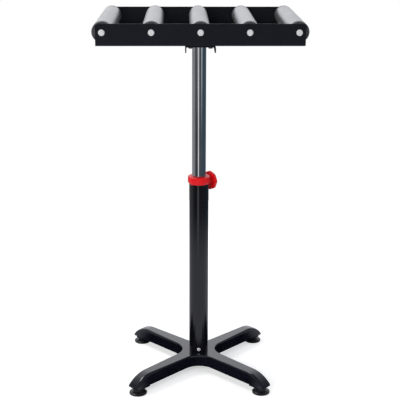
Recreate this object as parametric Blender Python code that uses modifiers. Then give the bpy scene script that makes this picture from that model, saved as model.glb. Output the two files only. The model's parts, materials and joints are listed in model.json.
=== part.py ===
"""Five-roller work support stand: a table of free-turning rollers on a telescopic column with a cast X base.

Lengths are in metres. Z is up, X runs along the rails, Y runs along the rollers, and the floor is at Z = 0
with the column's axis at X = Y = 0. The table stands at the height at which it was photographed.
"""

import math

import bmesh
import bpy
from mathutils import Matrix, Vector

# Fits, and the angle from which an edge is shaded sharp, in degrees
GAP = 0.0003
MERGE = 0.00001
SHARP_ANGLE = 35

# Levelling feet
FOOT_CIRCLE = 0.208
FOOT_RADIUS = 0.021
FOOT_RIM = 0.0035
FOOT_RIM_SLOPE_WIDTH = 0.002
FOOT_RIM_SLOPE_RISE = 0.0015
FOOT_EDGE = 0.001
FOOT_HEIGHT = 0.014
FOOT_NECK_RADIUS = 0.0115
FOOT_NECK_HEIGHT = 0.006
FOOT_STUD_RADIUS = 0.0048
FOOT_STUD_LENGTH = 0.0155

# Cast base: four legs, each with a flat top, a rounded shoulder, drafted sides and a toe that curves down
LEG_PAD_DEPTH = 0.004
LEG_DEPTH = 0.029
SHOULDER_DEPTH = 0.006
LEG_HALF_WIDTH = 0.017
LEG_WALL = 0.005
ROOT_STATION = 0.060
TIP_STATION = 0.170
DRAFT_ROOT = 0.0008
DRAFT_TIP = 0.0027
SHOULDER_ROOT = 0.0017
SHOULDER_TIP = 0.0048
CROTCH_REACH = 0.042
TOE_BEFORE_FOOT = 0.032
TOE_LENGTH = 0.0545
TOE_DROP = 0.050
TOE_CORNER = 0.004
TOE_CORNER_SHARE = 0.8
PAD_HALF_WIDTH = 0.0135
PAD_BEFORE_FOOT = 0.027
PAD_BEYOND_FOOT = 0.007
PAD_FLARE = 0.002
SPIGOT_HEIGHT = 0.019
SPIGOT_WALL = 0.006
HUB_BOSS_DEPTH = 0.020

# Column
LOWER_TUBE_RADIUS = 0.0235
LOWER_TUBE_WALL = 0.002
LOWER_TUBE_LENGTH = 0.4480
UPPER_TUBE_RADIUS = 0.0165
UPPER_TUBE_WALL = 0.002
UPPER_TUBE_LENGTH = 0.453
UPPER_TUBE_INSERTION = 0.119
BUSH_HEIGHT = 0.025
BUSH_LIP = 0.0017
BUSH_EDGE = 0.001
COLUMN_SCREW_HEIGHT = 0.0075

# Clamp collar, its boss, and the knob on its threaded stud
COLLAR_WALL = 0.0028
COLLAR_HEIGHT = 0.018
COLLAR_SLEEVE_DEPTH = 0.0305
COLLAR_TOP_ROUNDING = 0.003
COLLAR_LIP_ROUNDING = 0.0024
CLAMP_ANGLE = 45.0
CLAMP_DROP = 0.0149
BOSS_RADIUS = 0.010
BOSS_LENGTH = 0.0057
STUD_RADIUS = 0.005
STUD_IN_KNOB = 0.0077
STUD_POINT = 0.0012
KNOB_STANDOFF = 0.0005
KNOB_RADIUS = 0.0230
KNOB_HUB_RADIUS = 0.0085
KNOB_HUB_FLARE = 0.0015
KNOB_THICKNESS = 0.0145
KNOB_LOBES = 8
KNOB_LOBE_DEPTH = 0.0007
KNOB_STEPS_PER_LOBE = 4
KNOB_BACK_EDGE = 0.002
KNOB_FRONT_EDGE = 0.0017
KNOB_CROWN_BEND_RADIUS = 0.0138
KNOB_CROWN_FLAT_RADIUS = 0.0053

# Where the knob's profile bends, as shares of its thickness from the back
KNOB_FLARE_END = 0.20
KNOB_BACK_EDGE_START = 0.28
KNOB_BACK_EDGE_END = 0.40
KNOB_FRONT_EDGE_START = 0.65
KNOB_FRONT_EDGE_END = 0.80
KNOB_CROWN_BEND = 0.94

# Table bracket, an inverted channel that the upper tube is welded to
BRACKET_HALF_WIDTH = 0.0330
BRACKET_WALL = 0.0027
BRACKET_DEPTH = 0.0142
BRACKET_END_SETBACK = 0.004
BEND_RADIUS = 0.002
BRACKET_BOLT_SPREAD = 0.0215

# Rails
TABLE_DEPTH = 0.358
RAIL_HEIGHT = 0.0477
RAIL_THICKNESS = 0.003
RAIL_FLANGE = 0.025
RAIL_END_MARGIN = 0.014
RAIL_CORNER = 0.006
WELD_NUT_HEIGHT = 0.005
WELD_NUT_RADIUS = 0.0058

# Rollers
ROLLER_COUNT = 5
ROLLER_PITCH = 0.105
ROLLER_RADIUS = 0.0225
ROLLER_WALL = 0.0015
AXLE_ABOVE_RAIL_BOTTOM = 0.0291
AXLE_RADIUS = 0.006
CAP_TO_RAIL = 0.0073
CAP_FLANGE = 0.011
CAP_SPIGOT = 0.010
CAP_FACE_WALL = 0.004
CAP_BORE_RADIUS = 0.009
BEARING_RADIUS = 0.014
BEARING_WIDTH = 0.008

# Screws: head radius, head height, shank radius, shank length and socket radius over its corners
ROLLER_SCREW = (0.0070, 0.0044, 0.00385, 0.0180, 0.0029)
BRACKET_BOLT = (0.0052, 0.0033, 0.0027, 0.0115, 0.0023)
COLUMN_SCREW = (0.0044, 0.0026, 0.0022, 0.0070, 0.0017)
THREAD_END_ROOM = 0.0015

# A screw head's profile, as shares of its radius and height
HEAD_FLAT_RADIUS = 0.55
HEAD_BEND_RADIUS = 0.86
HEAD_BEND_HEIGHT = 0.66
HEAD_RIM_HEIGHT = 0.20
SOCKET_FLOOR_HEIGHT = 0.40

# Facets round each kind of turned piece
COLUMN_STEPS = 36
ROLLER_STEPS = 28
CAP_STEPS = 20
FOOT_STEPS = 18
SMALL_STEPS = 14
SCREW_STEPS = 12
ARC_STEPS = 3

# Steps in the casting: up a leg's side, round its shoulder, round a toe's corner and round a crotch
LEG_SIDE_STEPS = 5
SHOULDER_STEPS = 4
TOE_STEPS = 4
CROTCH_STEPS = 8

# Heights and distances that follow from the sizes above
SKIRT_BOTTOM = FOOT_HEIGHT + LEG_PAD_DEPTH
BASE_TOP = SKIRT_BOTTOM + LEG_DEPTH
SPIGOT_RADIUS = LOWER_TUBE_RADIUS - LOWER_TUBE_WALL - GAP
LOWER_TUBE_TOP = BASE_TOP + GAP + LOWER_TUBE_LENGTH
COLLAR_TOP = LOWER_TUBE_TOP + GAP + COLLAR_WALL
CLAMP_HEIGHT = LOWER_TUBE_TOP - CLAMP_DROP
UPPER_TUBE_BOTTOM = LOWER_TUBE_TOP - UPPER_TUBE_INSERTION
UPPER_TUBE_TOP = UPPER_TUBE_BOTTOM + UPPER_TUBE_LENGTH
BRACKET_TOP = UPPER_TUBE_TOP + GAP + BRACKET_WALL
RAIL_BOTTOM = BRACKET_TOP + GAP
AXLE_HEIGHT = RAIL_BOTTOM + AXLE_ABOVE_RAIL_BOTTOM
RAIL_HALF_LENGTH = ROLLER_PITCH * (ROLLER_COUNT - 1) / 2 + RAIL_END_MARGIN
RAIL_INNER_FACE = TABLE_DEPTH / 2 - RAIL_THICKNESS
BRACKET_BOLT_REACH = TABLE_DEPTH / 2 - (RAIL_THICKNESS + RAIL_FLANGE) / 2
CAP_FACE = RAIL_INNER_FACE - CAP_TO_RAIL
BOSS_FACE = LOWER_TUBE_RADIUS + GAP + BOSS_LENGTH
KNOB_BACK = BOSS_FACE + KNOB_STANDOFF

FRONT_FACING = (math.radians(90), 0, 0)
REAR_FACING = (math.radians(-90), 0, 0)
DOWN_FACING = (math.radians(180), 0, 0)


def clear_scene():
    for item in list(bpy.data.objects):
        bpy.data.objects.remove(item)


def new_collection(name):
    collection = bpy.data.collections.new(name)
    bpy.context.scene.collection.children.link(collection)
    return collection


def finish(name, colour, roughness, metallic):
    """A Principled material with one colour, roughness and metallic value."""
    material = bpy.data.materials.new(name)
    material.use_nodes = True
    shader = material.node_tree.nodes["Principled BSDF"]
    shader.inputs["Base Color"].default_value = (*colour, 1)
    shader.inputs["Roughness"].default_value = roughness
    shader.inputs["Metallic"].default_value = metallic
    return material


def add_piece(name, mesh, material, parent=None):
    """An object in the stand's collection, with its material on its mesh."""
    piece = bpy.data.objects.new(name, mesh)
    parts.objects.link(piece)
    piece.parent = parent
    if not mesh.materials:
        mesh.materials.append(material)
    return piece


def add_helper(name, mesh):
    """A shape that only cuts or joins another piece."""
    helper = bpy.data.objects.new(name, mesh)
    cutters.objects.link(helper)
    helper.hide_render = True
    helper.display_type = "WIRE"
    return helper


def add_axis(name, place):
    """An empty on a joint's axis, which the pieces that move together hang from."""
    axis = bpy.data.objects.new(name, None)
    parts.objects.link(axis)
    axis.location = place
    return axis


def mesh_of(name, shape):
    mesh = bpy.data.meshes.new(name)
    shape.to_mesh(mesh)
    shape.free()
    return mesh


def applied_mesh(piece):
    """The piece's mesh with its modifiers applied, smooth between its sharp edges. The piece is removed."""
    bpy.context.view_layer.update()
    graph = bpy.context.evaluated_depsgraph_get()
    mesh = bpy.data.meshes.new_from_object(piece.evaluated_get(graph))
    mesh.name = piece.name
    mesh.shade_smooth()
    mesh.set_sharp_from_angle(angle=math.radians(SHARP_ANGLE))
    bpy.data.objects.remove(piece)
    return mesh


def boolean(piece, operation, other):
    modifier = piece.modifiers.new(other.name, "BOOLEAN")
    modifier.operation = operation
    modifier.object = other


def turn(piece, steps):
    """Turns the piece's profile, drawn in X and Z, once round Z."""
    screw = piece.modifiers.new("turn", "SCREW")
    screw.steps = steps
    screw.render_steps = steps
    screw.use_merge_vertices = True
    screw.merge_threshold = MERGE


def profile_mesh(name, profile, is_ring):
    """A profile of (radius, height) points that runs down its outer side. A ring's profile is a closed loop."""
    points = [(radius, 0, height) for radius, height in profile]
    edges = [(i, i + 1) for i in range(len(points) - 1)]
    if is_ring:
        edges.append((len(points) - 1, 0))
    mesh = bpy.data.meshes.new(name)
    mesh.from_pydata(points, edges, [])
    return mesh


def turned_mesh(name, profile, steps, material, is_ring=False):
    piece = add_piece(name, profile_mesh(name, profile, is_ring), material)
    turn(piece, steps)
    return applied_mesh(piece)


def add_cylinder(shape, radius, start, end, steps):
    """Adds a closed cylinder from one point to another to a bmesh."""
    start = Vector(start)
    along = Vector(end) - start
    turned = along.to_track_quat("Z", "Y").to_matrix().to_4x4()
    bmesh.ops.create_cone(
        shape,
        cap_ends=True,
        segments=steps,
        radius1=radius,
        radius2=radius,
        depth=along.length,
        matrix=Matrix.Translation(start + along / 2) @ turned,
    )


def arc(centre, radius, start, end, steps):
    """Points on an arc between two angles in degrees."""
    points = []
    for step in range(steps + 1):
        angle = math.radians(start + (end - start) * step / steps)
        points.append((centre[0] + radius * math.cos(angle), centre[1] + radius * math.sin(angle)))
    return points


def loft(shape, loops):
    """Skins a run of loops that have the same number of points, and closes both ends."""
    rings = [[shape.verts.new(point) for point in loop] for loop in loops]
    for lower, upper in zip(rings, rings[1:]):
        for i in range(len(lower)):
            j = (i + 1) % len(lower)
            shape.faces.new((lower[i], lower[j], upper[j], upper[i]))
    shape.faces.new(rings[0])
    shape.faces.new(rings[-1])
    bmesh.ops.recalc_face_normals(shape, faces=shape.faces)


def extruded_mesh(name, outline, depth):
    """A flat outline in X and Y, extruded by half the depth to each side of its plane."""
    curve = bpy.data.curves.new(name, "CURVE")
    curve.dimensions = "2D"
    curve.fill_mode = "BOTH"
    curve.extrude = depth / 2
    spline = curve.splines.new("POLY")
    spline.points.add(len(outline) - 1)
    for point, (x, y) in zip(spline.points, outline):
        point.co = (x, y, 0, 1)
    spline.use_cyclic_u = True
    drawn = bpy.data.objects.new(name, curve)
    cutters.objects.link(drawn)
    bpy.context.view_layer.update()
    graph = bpy.context.evaluated_depsgraph_get()
    mesh = bpy.data.meshes.new_from_object(drawn.evaluated_get(graph))
    bpy.data.objects.remove(drawn)
    shape = bmesh.new()
    shape.from_mesh(mesh)
    bmesh.ops.remove_doubles(shape, verts=shape.verts, dist=MERGE)
    bmesh.ops.recalc_face_normals(shape, faces=shape.faces)
    shape.to_mesh(mesh)
    shape.free()
    return mesh


def socket_screw_mesh(name, screw):
    """A button-head screw on Z with its seat at Z = 0, its head above and a hexagonal socket in the head."""
    head_radius, head_height, shank_radius, shank_length, socket_radius = screw
    profile = [
        (0, head_height),
        (head_radius * HEAD_FLAT_RADIUS, head_height),
        (head_radius * HEAD_BEND_RADIUS, head_height * HEAD_BEND_HEIGHT),
        (head_radius, head_height * HEAD_RIM_HEIGHT),
        (head_radius, 0),
        (shank_radius, 0),
        (shank_radius, -shank_length),
        (0, -shank_length),
    ]
    piece = add_piece(name, profile_mesh(name, profile, False), zinc_plate)
    turn(piece, SCREW_STEPS)
    shape = bmesh.new()
    socket_floor = (0, 0, head_height * SOCKET_FLOOR_HEIGHT)
    add_cylinder(shape, socket_radius, socket_floor, (0, 0, head_height * 2), 6)
    boolean(piece, "DIFFERENCE", add_helper(name + "_socket", mesh_of(name, shape)))
    return applied_mesh(piece)


def toe_end(height):
    """Distance from the column axis to the toe's curved front at a height, a quarter of an ellipse."""
    drop = (height - (BASE_TOP - TOE_DROP)) / TOE_DROP
    return FOOT_CIRCLE - TOE_BEFORE_FOOT + TOE_LENGTH * math.sqrt(max(0, 1 - drop * drop))


def leg_levels():
    """Each level of a leg, bottom to top: its height and its half width at the root and tip stations."""
    levels = []
    side_depth = LEG_DEPTH - SHOULDER_DEPTH
    for step in range(LEG_SIDE_STEPS + 1):
        share = step / LEG_SIDE_STEPS
        root = LEG_HALF_WIDTH - DRAFT_ROOT * share
        tip = LEG_HALF_WIDTH - DRAFT_TIP * share
        levels.append((SKIRT_BOTTOM + side_depth * share, root, tip))
    for step in range(1, SHOULDER_STEPS + 1):
        angle = math.radians(90 * step / SHOULDER_STEPS)
        inward = 1 - math.cos(angle)
        root = LEG_HALF_WIDTH - DRAFT_ROOT - SHOULDER_ROOT * inward
        tip = LEG_HALF_WIDTH - DRAFT_TIP - SHOULDER_TIP * inward
        levels.append((BASE_TOP - SHOULDER_DEPTH * (1 - math.sin(angle)), root, tip))
    return levels


def crotch_arc(root, tip):
    """The arc between two legs, about +X, and tangent to the legs' sides at 45 degrees to it."""
    diagonal = math.sqrt(0.5)
    widest_radius = (CROTCH_REACH - LEG_HALF_WIDTH / diagonal) / (1 / diagonal - 1)
    radius = widest_radius + LEG_HALF_WIDTH - root
    slope = (tip - root) / (TIP_STATION - ROOT_STATION)
    lean = math.atan(slope)
    offset = radius / math.cos(lean) + root - slope * ROOT_STATION
    centre = offset / (diagonal * (1 - slope))
    swing = 45 - math.degrees(lean)
    return arc((centre, 0), radius, 180 + swing, 180 - swing, CROTCH_STEPS)


def base_outline(height, root, tip, end):
    """One level of the base's plan: four legs with rounded ends, and an arc in each crotch."""
    slope = (tip - root) / (TIP_STATION - ROOT_STATION)
    half_width = root + slope * (end - ROOT_STATION)
    corner = min(TOE_CORNER, half_width * TOE_CORNER_SHARE)
    leg = arc((end - corner, corner - half_width), corner, -90, 0, TOE_STEPS)
    leg += arc((end - corner, half_width - corner), corner, 0, 90, TOE_STEPS)
    crotch = crotch_arc(root, tip)
    points = []
    for quarter in range(4):
        for angle, part in ((45, leg), (90, crotch)):
            turned = Matrix.Rotation(math.radians(angle + 90 * quarter), 4, "Z")
            points += [turned @ Vector((x, y, height)) for x, y in part]
    return points


def pad_outline(height, flare):
    """A level of the pad under a toe, along +X: a rectangle with rounded corners."""
    near = FOOT_CIRCLE - PAD_BEFORE_FOOT - flare
    far = FOOT_CIRCLE + PAD_BEYOND_FOOT + flare
    side = PAD_HALF_WIDTH + flare
    corner = TOE_CORNER
    points = arc((far - corner, side - corner), corner, 0, 90, ARC_STEPS)
    points += arc((near + corner, side - corner), corner, 90, 180, ARC_STEPS)
    points += arc((near + corner, corner - side), corner, 180, 270, ARC_STEPS)
    points += arc((far - corner, corner - side), corner, 270, 360, ARC_STEPS)
    return [Vector((x, y, height)) for x, y in points]


def foot_places():
    """Each foot's name and its angle round the column, in degrees."""
    return (("front_left", 225), ("front_right", 315), ("rear_left", 135), ("rear_right", 45))


def build_base():
    """The casting: a lofted four-legged shell, open below, with toe pads, a hub boss and a spigot."""
    shape = bmesh.new()
    loft(shape, [base_outline(height, root, tip, toe_end(height)) for height, root, tip in leg_levels()])
    mesh = mesh_of("base_casting", shape)
    mesh.shade_smooth()
    mesh.set_sharp_from_angle(angle=math.radians(SHARP_ANGLE))
    base = add_piece("base_casting", mesh, casting_paint)

    shape = bmesh.new()
    hollow_end = FOOT_CIRCLE - TOE_BEFORE_FOOT
    hollow_half_width = LEG_HALF_WIDTH - LEG_WALL
    mouth = base_outline(SKIRT_BOTTOM - LEG_WALL, hollow_half_width, hollow_half_width, hollow_end)
    roof_root = hollow_half_width - DRAFT_ROOT
    roof_tip = hollow_half_width - DRAFT_TIP
    roof = base_outline(BASE_TOP - LEG_WALL, roof_root, roof_tip, hollow_end)
    loft(shape, [mouth, roof])
    boolean(base, "DIFFERENCE", add_helper("base_hollow", mesh_of("base_hollow", shape)))

    shape = bmesh.new()
    hub_bottom = BASE_TOP - HUB_BOSS_DEPTH
    add_cylinder(shape, SPIGOT_RADIUS, (0, 0, hub_bottom), (0, 0, BASE_TOP + SPIGOT_HEIGHT), COLUMN_STEPS)
    for _, angle in foot_places():
        pad = bmesh.new()
        loft(pad, [pad_outline(FOOT_HEIGHT, 0), pad_outline(SKIRT_BOTTOM + MERGE, PAD_FLARE)])
        bmesh.ops.transform(pad, matrix=Matrix.Rotation(math.radians(angle), 4, "Z"), verts=pad.verts)
        pad_mesh = mesh_of("pad", pad)
        shape.from_mesh(pad_mesh)
        bpy.data.meshes.remove(pad_mesh)
    boolean(base, "UNION", add_helper("base_hub_and_pads", mesh_of("base_hub_and_pads", shape)))

    shape = bmesh.new()
    core_radius = SPIGOT_RADIUS - SPIGOT_WALL
    core_top = BASE_TOP + SPIGOT_HEIGHT - SPIGOT_WALL
    add_cylinder(shape, core_radius, (0, 0, FOOT_HEIGHT), (0, 0, core_top), COLUMN_STEPS)
    for _, angle in foot_places():
        x = FOOT_CIRCLE * math.cos(math.radians(angle))
        y = FOOT_CIRCLE * math.sin(math.radians(angle))
        hole_top = FOOT_HEIGHT + FOOT_STUD_LENGTH + THREAD_END_ROOM
        add_cylinder(shape, FOOT_STUD_RADIUS + GAP, (x, y, 0), (x, y, hole_top), SMALL_STEPS)
    boolean(base, "DIFFERENCE", add_helper("base_holes", mesh_of("base_holes", shape)))

    shape = bmesh.new()
    height = BASE_TOP + COLUMN_SCREW_HEIGHT
    hole_radius = COLUMN_SCREW[2] + GAP
    add_cylinder(shape, hole_radius, (0, -LOWER_TUBE_RADIUS, height), (0, 0, height), SCREW_STEPS)
    boolean(base, "DIFFERENCE", add_helper("base_screw_hole", mesh_of("base_screw_hole", shape)))


def build_feet():
    """Four round levelling feet, each a moulded pad on its threaded stud."""
    top = FOOT_HEIGHT - GAP
    profile = [
        (0, top + FOOT_STUD_LENGTH),
        (FOOT_STUD_RADIUS, top + FOOT_STUD_LENGTH),
        (FOOT_STUD_RADIUS, top),
        (FOOT_NECK_RADIUS - FOOT_EDGE, top),
        (FOOT_NECK_RADIUS, top - FOOT_EDGE),
        (FOOT_NECK_RADIUS, top - FOOT_NECK_HEIGHT),
        (FOOT_RADIUS - FOOT_RIM_SLOPE_WIDTH, FOOT_RIM + FOOT_RIM_SLOPE_RISE),
        (FOOT_RADIUS, FOOT_RIM),
        (FOOT_RADIUS, FOOT_EDGE),
        (FOOT_RADIUS - FOOT_EDGE, 0),
        (0, 0),
    ]
    mesh = turned_mesh("foot", profile, FOOT_STEPS, foot_plastic)
    for place, angle in foot_places():
        x = FOOT_CIRCLE * math.cos(math.radians(angle))
        y = FOOT_CIRCLE * math.sin(math.radians(angle))
        add_piece("foot_" + place, mesh, foot_plastic).location = (x, y, 0)


def clamp_point(distance, height=CLAMP_HEIGHT):
    """A point on the clamp screw's axis, at a distance from the column axis."""
    angle = math.radians(CLAMP_ANGLE)
    return (distance * math.cos(angle), distance * math.sin(angle), height)


def pipe_profile(radius, wall, bottom, top):
    return [(radius, top), (radius, bottom), (radius - wall, bottom), (radius - wall, top)]


def build_lower_tube():
    """The fixed tube, which stands on the base over its spigot, with a hole for each screw."""
    profile = pipe_profile(LOWER_TUBE_RADIUS, LOWER_TUBE_WALL, BASE_TOP + GAP, LOWER_TUBE_TOP)
    tube = add_piece("lower_tube", profile_mesh("lower_tube", profile, True), tube_paint)
    turn(tube, COLUMN_STEPS)
    shape = bmesh.new()
    inside = LOWER_TUBE_RADIUS / 2
    outside = LOWER_TUBE_RADIUS * 1.5
    screw_height = BASE_TOP + COLUMN_SCREW_HEIGHT
    screw_hole = COLUMN_SCREW[2] + GAP
    add_cylinder(shape, screw_hole, (0, -outside, screw_height), (0, -inside, screw_height), SCREW_STEPS)
    add_cylinder(shape, STUD_RADIUS + GAP, clamp_point(inside), clamp_point(outside), SMALL_STEPS)
    boolean(tube, "DIFFERENCE", add_helper("lower_tube_holes", mesh_of("lower_tube_holes", shape)))

    screw = add_piece("column_screw", socket_screw_mesh("column_screw", COLUMN_SCREW), zinc_plate)
    screw.location = (0, -LOWER_TUBE_RADIUS - GAP, screw_height)
    screw.rotation_euler = FRONT_FACING


def build_collar():
    """The moulded cap on the lower tube: a skirt outside the tube, a guide sleeve inside it, and a boss."""
    outer = LOWER_TUBE_RADIUS + GAP + COLLAR_WALL
    skirt = LOWER_TUBE_RADIUS + GAP
    bore = UPPER_TUBE_RADIUS + GAP
    bottom = COLLAR_TOP - COLLAR_HEIGHT
    sleeve_bottom = COLLAR_TOP - COLLAR_SLEEVE_DEPTH
    roof = LOWER_TUBE_TOP + GAP
    rounding = COLLAR_TOP_ROUNDING
    lip_rounding = COLLAR_LIP_ROUNDING
    profile = [(bore, COLLAR_TOP)]
    profile += arc((outer - rounding, COLLAR_TOP - rounding), rounding, 90, 0, ARC_STEPS)
    profile += arc((outer - lip_rounding, bottom + lip_rounding), lip_rounding, 0, -90, ARC_STEPS)
    profile += [(skirt, bottom), (skirt, roof), (SPIGOT_RADIUS, roof)]
    profile += [(SPIGOT_RADIUS, sleeve_bottom), (bore, sleeve_bottom)]
    collar = add_piece("clamp_collar", profile_mesh("clamp_collar", profile, True), red_plastic)
    turn(collar, COLUMN_STEPS)

    shape = bmesh.new()
    add_cylinder(shape, BOSS_RADIUS, clamp_point(UPPER_TUBE_RADIUS), clamp_point(BOSS_FACE), FOOT_STEPS)
    boss = add_helper("collar_boss", mesh_of("collar_boss", shape))
    shape = bmesh.new()
    tube_bottom = (0, 0, CLAMP_HEIGHT - BOSS_RADIUS * 2)
    add_cylinder(shape, skirt, tube_bottom, (0, 0, COLLAR_TOP), COLUMN_STEPS)
    boolean(boss, "DIFFERENCE", add_helper("collar_tube_room", mesh_of("collar_tube_room", shape)))
    boolean(collar, "UNION", boss)

    shape = bmesh.new()
    hole_end = clamp_point(BOSS_FACE + BOSS_LENGTH)
    add_cylinder(shape, STUD_RADIUS + GAP, clamp_point(UPPER_TUBE_RADIUS / 2), hole_end, SMALL_STEPS)
    boolean(collar, "DIFFERENCE", add_helper("collar_stud_hole", mesh_of("collar_stud_hole", shape)))


def knob_loop(radius, distance, lobed):
    """A ring of the knob about Z, pulled in between its lobes where it is lobed."""
    points = []
    steps = KNOB_LOBES * KNOB_STEPS_PER_LOBE
    for step in range(steps):
        angle = math.tau * step / steps
        dip = KNOB_LOBE_DEPTH * (1 - math.cos(KNOB_LOBES * angle)) / 2
        reach = radius - dip if lobed else radius
        points.append((reach * math.cos(angle), reach * math.sin(angle), distance))
    return points


def build_clamp_screw():
    """The clamp knob, moulded round the end of a threaded stud that presses on the upper tube."""
    axis = add_axis("clamp_axis", clamp_point(KNOB_BACK))
    axis.rotation_euler = (0, math.radians(90), math.radians(CLAMP_ANGLE))
    hole = STUD_RADIUS + GAP
    hub = KNOB_HUB_RADIUS
    rim = KNOB_RADIUS
    thickness = KNOB_THICKNESS
    loops = [
        knob_loop(hole, STUD_IN_KNOB + GAP, False),
        knob_loop(hole, 0, False),
        knob_loop(hub, 0, False),
        knob_loop(hub + KNOB_HUB_FLARE, thickness * KNOB_FLARE_END, False),
        knob_loop(rim - KNOB_BACK_EDGE, thickness * KNOB_BACK_EDGE_START, True),
        knob_loop(rim, thickness * KNOB_BACK_EDGE_END, True),
        knob_loop(rim, thickness * KNOB_FRONT_EDGE_START, True),
        knob_loop(rim - KNOB_FRONT_EDGE, thickness * KNOB_FRONT_EDGE_END, True),
        knob_loop(KNOB_CROWN_BEND_RADIUS, thickness * KNOB_CROWN_BEND, False),
        knob_loop(KNOB_CROWN_FLAT_RADIUS, thickness, False),
    ]
    shape = bmesh.new()
    loft(shape, loops)
    mesh = mesh_of("clamp_knob", shape)
    mesh.shade_smooth()
    mesh.set_sharp_from_angle(angle=math.radians(SHARP_ANGLE))
    add_piece("clamp_knob", mesh, red_plastic, axis)

    tip = UPPER_TUBE_RADIUS + GAP - KNOB_BACK
    profile = [
        (0, STUD_IN_KNOB),
        (STUD_RADIUS, STUD_IN_KNOB),
        (STUD_RADIUS, tip + STUD_POINT),
        (STUD_RADIUS - STUD_POINT, tip),
        (0, tip),
    ]
    add_piece("clamp_stud", turned_mesh("clamp_stud", profile, SMALL_STEPS, zinc_plate), zinc_plate, axis)


def build_upper_tube(mast):
    """The sliding tube, and the guide bush that its lower end stands in."""
    profile = pipe_profile(UPPER_TUBE_RADIUS, UPPER_TUBE_WALL, UPPER_TUBE_BOTTOM, UPPER_TUBE_TOP)
    mesh = turned_mesh("upper_tube", profile, COLUMN_STEPS, bright_tube, is_ring=True)
    add_piece("upper_tube", mesh, bright_tube, mast)

    seat = UPPER_TUBE_BOTTOM - GAP
    bush_top = seat + BUSH_HEIGHT
    lip_radius = UPPER_TUBE_RADIUS - UPPER_TUBE_WALL
    bore = UPPER_TUBE_RADIUS + GAP
    profile = [
        (bore, bush_top),
        (SPIGOT_RADIUS - BUSH_EDGE, bush_top),
        (SPIGOT_RADIUS, bush_top - BUSH_EDGE),
        (SPIGOT_RADIUS, seat - BUSH_LIP),
        (lip_radius, seat - BUSH_LIP),
        (lip_radius, seat),
        (bore, seat),
    ]
    mesh = turned_mesh("slide_bush", profile, ROLLER_STEPS, bush_plastic, is_ring=True)
    add_piece("slide_bush", mesh, bush_plastic)


def channel_outline():
    """The bracket's section: a flat web on top and a flange down each side, with rounded bends."""
    side = BRACKET_HALF_WIDTH
    wall = BRACKET_WALL
    inner = BEND_RADIUS
    outer = BEND_RADIUS + wall
    depth = BRACKET_DEPTH
    points = [(side, -depth)]
    points += arc((side - outer, -outer), outer, 0, 90, ARC_STEPS)
    points += arc((outer - side, -outer), outer, 90, 180, ARC_STEPS)
    points += [(-side, -depth), (wall - side, -depth)]
    points += arc((outer - side, -outer), inner, 180, 90, ARC_STEPS)
    points += arc((side - outer, -outer), inner, 90, 0, ARC_STEPS)
    points.append((side - wall, -depth))
    return points


def bolt_places():
    """Name, X and Y of each bolt that holds a rail to the bracket."""
    reach = BRACKET_BOLT_REACH
    spread = BRACKET_BOLT_SPREAD
    return (
        ("front_left", -spread, -reach),
        ("front_right", spread, -reach),
        ("rear_left", -spread, reach),
        ("rear_right", spread, reach),
    )


def build_bracket(mast):
    """The channel under the rails, with its four bolts."""
    mesh = extruded_mesh("table_bracket", channel_outline(), TABLE_DEPTH - 2 * BRACKET_END_SETBACK)
    bracket = add_piece("table_bracket", mesh, rail_paint, mast)
    bracket.location = (0, 0, BRACKET_TOP)
    bracket.rotation_euler = FRONT_FACING
    shape = bmesh.new()
    for _, x, y in bolt_places():
        below = (x, y, BRACKET_TOP - BRACKET_DEPTH)
        above = (x, y, BRACKET_TOP + BRACKET_DEPTH)
        add_cylinder(shape, BRACKET_BOLT[2] + GAP, below, above, SCREW_STEPS)
    boolean(bracket, "DIFFERENCE", add_helper("bracket_holes", mesh_of("bracket_holes", shape)))

    mesh = socket_screw_mesh("bracket_bolt", BRACKET_BOLT)
    for place, x, y in bolt_places():
        bolt = add_piece("bracket_bolt_" + place, mesh, zinc_plate, mast)
        bolt.location = (x, y, UPPER_TUBE_TOP)
        bolt.rotation_euler = DOWN_FACING


def rail_section():
    """The rail's angle section: the outer face at X = 0, the flange along +X at the bottom."""
    wall = RAIL_THICKNESS
    inner = BEND_RADIUS
    outer = BEND_RADIUS + wall
    points = [(0, RAIL_HEIGHT)]
    points += arc((outer, outer), outer, 180, 270, ARC_STEPS)
    points += [(RAIL_FLANGE, 0), (RAIL_FLANGE, wall)]
    points += arc((outer, outer), inner, 270, 180, ARC_STEPS)
    points.append((wall, RAIL_HEIGHT))
    return points


def rail_face():
    """The rail's front outline, with its two top corners rounded."""
    side = RAIL_HALF_LENGTH
    corner = RAIL_CORNER
    points = [(-side, 0), (side, 0)]
    points += arc((side - corner, RAIL_HEIGHT - corner), corner, 0, 90, ARC_STEPS)
    points += arc((corner - side, RAIL_HEIGHT - corner), corner, 90, 180, ARC_STEPS)
    return points


def roller_places():
    """X of each roller's axis, from the left."""
    return [ROLLER_PITCH * (i - (ROLLER_COUNT - 1) / 2) for i in range(ROLLER_COUNT)]


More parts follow.
